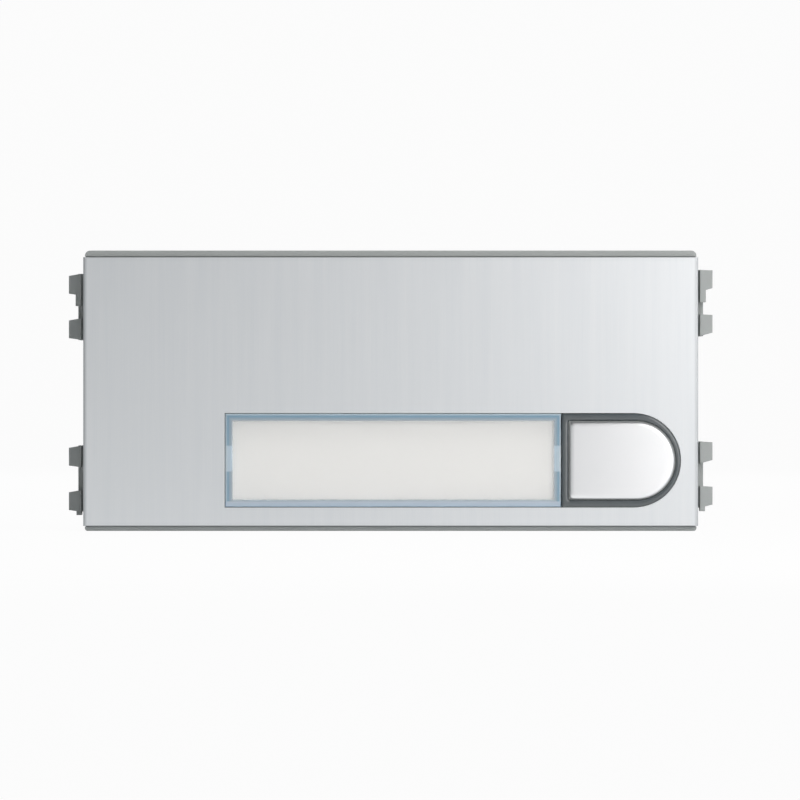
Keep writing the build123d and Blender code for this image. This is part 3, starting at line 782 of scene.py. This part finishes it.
def collar():
    """Four outlines, inner and outer at the front and the back, joined in turn and to the first."""
    low, high = (np.array(corner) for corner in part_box("push_button"))
    reach = cap_gap - collar_play
    end_reach = cap_end_gap - collar_play
    inner = bullet(
        low[0] + collar_root,
        high[0] - collar_root,
        low[2] + collar_root,
        high[2] - collar_root,
        cap_corner - collar_root,
    )
    outer = bullet(
        low[0] - end_reach,
        high[0] + reach,
        low[2] - reach,
        high[2] + reach,
        bezel_corner - collar_play,
    )
    front = plate_face - collar_proud
    back = front + collar_height
    rings = [(inner, front), (outer, front), (outer, back), (inner, back), (inner, front)]
    return np.stack(
        [np.stack([ring[:, 0], np.full(len(ring), y), ring[:, 1]], axis=-1) for ring, y in rings]
    )[None]


# a pale piece in the shaded slit: painted light
surface("slit_lightening_collar", collar(), "grey_abs_moulded", "button")

# %% [markdown]
# ## Solder joints
#
# The legs of the switch are soldered on the rear of the board and the header pins on its front. A
# good joint is a hollow cone: wide at the pad and thin up the pin, because the solder wets both.
# That is one profile, turned round each pin. The same profile, made low, is a via: the small tinned
# eyelet where a track changes sides.

# %% Solder joints
board_low, board_high = (np.array(corner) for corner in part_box("circuit_board"))
board_front = float(board_low[1])
board_rear = float(board_high[1])
cone_sides = 16
cone_rings = 8
cone_sizes = {
    # kind: (pad radius, neck radius and height in mm)
    "leg": (0.95, 0.40, 0.90),
    "pin": (0.90, 0.42, 0.90),
    "via": (0.55, 0.32, 0.09),
}
pin_half = {
    "input_header_pins": np.array([0.32, 0.32]) * MM,
    "output_header_pins": np.array([0.32, 0.32]) * MM,
    "switch_legs": np.array([0.15, 0.35]) * MM,
}
pins_in_row = 5
pin_rows = 2


def cones(places, y, way, kind):
    """Turned profiles: from the pad's radius down to the neck's by the cube of the height left."""
    pad, neck, height = (size * MM for size in cone_sizes[kind])
    around = np.linspace(0, 2 * np.pi, cone_sides, endpoint=False)
    level = np.concatenate([[0], np.linspace(0, 1, cone_rings), [1]])
    radius = neck + (pad - neck) * (1 - level) ** 3
    radius[[0, -1]] = 0
    profile_x = radius[:, None] * np.cos(around)
    profile_z = radius[:, None] * np.sin(around)
    lift = np.repeat((y + way * height * level)[:, None], len(around), axis=1)
    shape = np.stack([profile_x, lift, profile_z], axis=-1)
    moved = np.stack([places[:, 0], np.zeros(len(places)), places[:, 1]], axis=-1)
    return shape[None] + moved[:, None, None, :]


def pin_grid(node, columns, rows):
    """Centres of a block of pins as X and Z: evenly spaced between the outer pins of its box."""
    low, high = (np.array(corner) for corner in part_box(node))
    half = pin_half[node]
    across = np.linspace(low[0] + half[0], high[0] - half[0], columns)
    upward = np.linspace(low[2] + half[1], high[2] - half[1], rows)
    return np.stack(np.meshgrid(across, upward), axis=-1).reshape(-1, 2)


input_pins = pin_grid("input_header_pins", pins_in_row, pin_rows)
output_pins = pin_grid("output_header_pins", pins_in_row, pin_rows)
switch_pins = pin_grid("switch_legs", 2, 2)
joints = np.concatenate(
    [
        cones(switch_pins, board_rear, 1, "leg"),
        cones(np.concatenate([input_pins, output_pins]), board_front, -1, "pin"),
    ]
)
surface("solder_joints", joints, "tin_solder")

# %% [markdown]
# ## Tracks on the rear of the board
#
# Copper tracks run from the input header to the output header, from each resistor to its lamp and
# to the supply, and from the switch through the diode to the output header. Under the resist they
# stand up a little and look paler. A track is a low flat-topped section carried along a line that
# turns in steps of 45 degrees, mitred at each corner. Where a track goes on at the front of the
# board it ends in a via.

# %% Tracks on the rear of the board
track_height = 0.05 * MM
track_slope = 0.04 * MM
bus_drop = 1.6 * MM  # from the pins down to the first line of the bus
bus_pitch = 0.8 * MM
bus_cut = 0.5 * MM  # what a corner of the bus is cut by


def ribbons(lines, width):
    """Flat sections along lines of shape (lines, points, 2): at each point the sides stand off
    along the mitre, the sum of the two runs' normals divided by one plus their dot product; the
    ends shrink shut."""
    runs = np.diff(lines, axis=1)
    runs /= np.linalg.norm(runs, axis=2, keepdims=True)
    normals = np.stack([-runs[..., 1], runs[..., 0]], axis=-1)
    before = np.concatenate([normals[:, :1], normals], axis=1)
    after = np.concatenate([normals, normals[:, -1:]], axis=1)
    mitre = (before + after) / (1 + (before * after).sum(axis=2, keepdims=True))
    lines = np.concatenate([lines[:, :1], lines, lines[:, -1:]], axis=1)
    mitre = np.concatenate([mitre[:, :1] * 0, mitre, mitre[:, -1:] * 0], axis=1)
    side = np.array([-width / 2, -width / 2 + track_slope, width / 2 - track_slope, width / 2])
    lift = np.array([0, track_height, track_height, 0]) + board_rear
    flat = lines[:, :, None, :] + mitre[:, :, None, :] * side[None, None, :, None]
    depth = np.broadcast_to(lift, flat.shape[:3])
    return np.stack([flat[..., 0], depth, flat[..., 1]], axis=-1)


def bus_lines():
    """From each lower pin of one header down, across and up to the other's mirrored pin, nested."""
    left = input_pins[:pins_in_row]
    right = output_pins[:pins_in_row][::-1]
    order = np.arange(pins_in_row)[::-1]
    level = left[:, 1] - bus_drop - bus_pitch * order
    start, stop = left[:, 0], right[:, 0]
    across = [start, start, start + bus_cut, stop - bus_cut, stop, stop]
    upward = [left[:, 1], level + bus_cut, level, level, level + bus_cut, right[:, 1]]
    return np.stack([np.stack(across, axis=-1), np.stack(upward, axis=-1)], axis=-1)


def bent(points):
    """Lines in metres, shape (lines, points, 2), from X and Z in mm with one count of points."""
    return np.array(points, dtype=float) * MM


def ends(node):
    """Left end, right end and middle height in mm of a part that lies along X, a little inside."""
    inset = 0.3
    low, high = (np.array(corner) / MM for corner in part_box(node))
    return low[0] + inset, high[0] - inset, (low[2] + high[2]) / 2


# The lines are laid out in mm. A resistor's right end goes to its lamp, its left end to the supply.
# A cut is what a slanted corner takes off.
lamp_drop = 6.6  # from the resistors down to the lamps
lamp_lead = 1.2  # straight out of the resistor
lamp_side = 3.2  # from the lamp's middle to the run beside it
lamp_cut = 0.8
rail_drop = 11.6  # from the resistors down to the supply lines
rail_reach = 11  # past the last lamp
supply_side = 3.0
supply_fall = 1.8
supply_cut = 0.6
first, last, row_z = ends("resistors")
chip_half = (last - first) / 2 - lamp_pitch / MM
lamp_x = (first + last) / 2 + lamp_pitch / MM * np.arange(-1, 2)
lamp_z = row_z - lamp_drop
rail_z = row_z - rail_drop
lamp_tracks = bent(
    [
        [
            (x + chip_half, row_z),
            (x + chip_half + lamp_lead, row_z),
            (x + lamp_side, row_z - lamp_cut),
            (x + lamp_side, lamp_z),
        ]
        for x in lamp_x
    ]
)
rail_end = lamp_x[-1] + rail_reach
supply_tracks = bent(
    [
        [
            (x - chip_half, row_z),
            (x - supply_side, row_z - supply_fall),
            (x - supply_side, level + supply_cut),
            (x - (supply_side - supply_cut), level),
            (rail_end, level),
        ]
        for x, level in zip(lamp_x, rail_z + np.arange(-2, 1))
    ]
)

# One leg of the switch goes to the diode and on to the header, another to a via of its own.
diode_cut = 1
header_lead = 8  # straight into the header's last pin
leg_lead = 3  # straight out of the switch's leg
leg_cut = 2
left_legs, right_legs = np.unique(np.round(switch_pins[:, 0] / MM, 3))
upper_legs = float(switch_pins[:, 1].max() / MM)
diode_left, diode_right, diode_z = ends("diode")
last_pin = output_pins[-1] / MM
climb = last_pin[1] - diode_z
header_x = last_pin[0] + header_lead
leg_x = left_legs - (leg_lead + leg_cut)
switch_tracks = bent(
    [
        [
            (right_legs, upper_legs),
            (right_legs, diode_z - diode_cut),
            (right_legs - diode_cut, diode_z),
            (diode_right, diode_z),
        ],
        [
            (diode_left, diode_z),
            (header_x + climb, diode_z),
            (header_x, last_pin[1]),
            last_pin,
        ],
        [
            (left_legs, upper_legs),
            (left_legs - leg_lead, upper_legs),
            (leg_x, upper_legs - leg_cut),
            (leg_x, rail_z),
        ],
    ]
)
tracks = {
    # name: (lines, width in mm)
    "bus_tracks": (bus_lines(), 0.45),
    "lamp_tracks": (lamp_tracks, 0.5),
    "supply_tracks": (supply_tracks, 0.5),
    "switch_tracks": (switch_tracks, 0.5),
}
for name, (lines, width) in tracks.items():
    surface(name, ribbons(lines, width * MM), "resist_over_copper")
via_places = np.concatenate([lamp_tracks[:, -1], supply_tracks[:, -1], switch_tracks[-1:, -1]])
vias = cones(via_places, board_rear, 1, "via")
surface("track_vias", vias, "tin_solder")

# %% [markdown]
# ## The white stage
#
# The picture is an object on white. The floor and the wall behind it are one sheet with a wide
# bend, so no line shows. What the camera, a reflection or a look through the window meets there is
# mostly plain white of strength 1. A share of ordinary matt white is kept, which is what lets the
# object's shadow show.

# %% The white stage
floor_z = float(cad_box[0][2])
sheet_half = 3.0
wall_y = 1.7
wall_height = 2.5
bend = 0.5
bend_steps = 24
plain_share = 0.96
bend_angle = np.linspace(0, np.pi / 2, bend_steps)
profile_y = np.concatenate([[-sheet_half], wall_y - bend + bend * np.sin(bend_angle), [wall_y]])
profile_z = floor_z + np.concatenate([[0], bend - bend * np.cos(bend_angle), [wall_height]])
across = np.array([-sheet_half, sheet_half])
sweep = np.stack(
    np.broadcast_arrays(across[None, :], profile_y[:, None], profile_z[:, None]), axis=-1
)
index = np.arange(sweep.shape[0] * 2).reshape(-1, 2)
quads = np.stack([index[:-1, 0], index[:-1, 1], index[1:, 1], index[1:, 0]], axis=-1)
sheet = bpy.data.meshes.new("white_sweep")
sheet.from_pydata(sweep.reshape(-1, 3), [], quads)
sheet.shade_smooth()
tree, place = blank("white_stage_paper")
matt = grow(tree, "ShaderNodeBsdfDiffuse", {"Color": linear("#F4F4F4")})
plain = grow(tree, "ShaderNodeEmission", {"Color": linear("#FFFFFF"), "Strength": 1.0})
rays = grow(tree, "ShaderNodeLightPath")
seen = rays.outputs["Is Camera Ray"]
for kind in ("Is Glossy Ray", "Is Transmission Ray"):
    seen = grow(tree, "ShaderNodeMath", {0: seen, 1: rays.outputs[kind]}, operation="MAXIMUM")
share = grow(tree, "ShaderNodeMath", {0: seen, 1: plain_share}, operation="MULTIPLY")
paper = grow(tree, "ShaderNodeMixShader", {0: share, 1: matt, 2: plain})
grow(tree, "ShaderNodeOutputMaterial", {"Surface": paper})
sheet.materials.append(finishes["white_stage_paper"])
stage = bpy.data.objects.new("white_sweep", sheet)
bpy.context.collection.objects.link(stage)
print("stage floor at", round(floor_z / MM, 2), "mm")

# %% [markdown]
# ## Light
#
# A pale room gives the even fill. One tall softbox stands close by on the right, in front of the
# plate: near light falls off across the object, which is why the plate and the side hooks are grey
# on the left and pale on the right. A wide bank overhead lifts the upper edges, and stays out of
# reflections. One behind lights the rear, which the front view never shows. The lamps stay hidden
# from the camera, so that a view from another side doesn't run into them. What lies past the edge
# of the stage is plain white to the camera.

# %% Light
world = bpy.data.worlds.new("pale_room")
world.use_nodes = True
tree = world.node_tree
tree.nodes.clear()
ways = grow(tree, "ShaderNodeTexCoord").outputs["Generated"]
way = grow(tree, "ShaderNodeSeparateXYZ", {0: ways})
level = grow(
    tree,
    "ShaderNodeMapRange",
    {"Value": way.outputs["X"], "From Min": -1, "From Max": 1, "To Min": 0.15, "To Max": 0.64},
)
ceiling = grow(
    tree,
    "ShaderNodeMapRange",
    {"Value": way.outputs["Z"], "From Min": 0.2, "From Max": 0.8, "To Min": 1.0, "To Max": 0.25},
)
level = grow(tree, "ShaderNodeMath", {0: level, 1: ceiling}, operation="MULTIPLY")
room = grow(tree, "ShaderNodeBackground", {"Color": linear("#F7F9FB"), "Strength": level})
plain = grow(tree, "ShaderNodeBackground", {"Color": linear("#FFFFFF"), "Strength": 1.0})
rays = grow(tree, "ShaderNodeLightPath")
shown = grow(tree, "ShaderNodeMixShader", {0: rays.outputs["Is Camera Ray"], 1: room, 2: plain})
grow(tree, "ShaderNodeOutputWorld", {"Surface": shown})
bpy.context.scene.world = world
lamps = {
    # name: (place, target, width, height, watts, colour, shows in reflections)
    "softbox_right": ((0.22, -0.3, 0.06), (0.03, 0.0, 0.0), 0.22, 0.7, 1.4, "#FFFBF9", True),
    "bank_above": ((0.05, -0.35, 0.9), (0.0, 0.0, 0.0), 0.9, 0.6, 1.6, "#FFFFFF", False),
    "bank_behind": ((0.1, 0.75, 0.5), (0.0, 0.01, 0.0), 0.9, 0.6, 2.2, "#FFFFFF", True),
}
for name, (stand, target, width, height, watts, colour, mirrored) in lamps.items():
    lamp = bpy.data.lights.new(name, "AREA")
    lamp.shape = "RECTANGLE"
    lamp.size = width
    lamp.size_y = height
    lamp.energy = watts
    lamp.color = linear(colour)[:3]
    lit = bpy.data.objects.new(name, lamp)
    lit.location = stand
    lit.rotation_euler = (Vector(target) - Vector(stand)).to_track_quat("-Z", "Y").to_euler()
    lit.visible_camera = False
    lit.visible_glossy = mirrored
    bpy.context.collection.objects.link(lit)
    print(name, watts, "W at", stand)

# %% [markdown]
# ## Camera
#
# The picture is taken from straight in front, from far enough away that the sides hardly show. At
# 1.2 m, a frame of 143 mm at the plate's face needs a lens of about 302 mm on a 36 mm sensor.

# %% Camera
sensor = 36.0
distance = 1.2
frame_width = 0.1431
aim_x = 1.67 * MM  # the picture's middle lies a little right of the module's
aim_z = -1.66 * MM  # and a little below it
camera = bpy.data.cameras.new("front_camera")
camera.sensor_width = sensor
camera.lens = sensor * distance / frame_width
camera.clip_end = 20
viewer = bpy.data.objects.new("front_camera", camera)
viewer.location = (aim_x, plate_face - distance, aim_z)
viewer.rotation_euler = (np.pi / 2, 0, 0)
bpy.context.collection.objects.link(viewer)
bpy.context.scene.camera = viewer
bpy.context.scene.view_settings.view_transform = "Standard"
print("lens", round(camera.lens, 1), "mm")
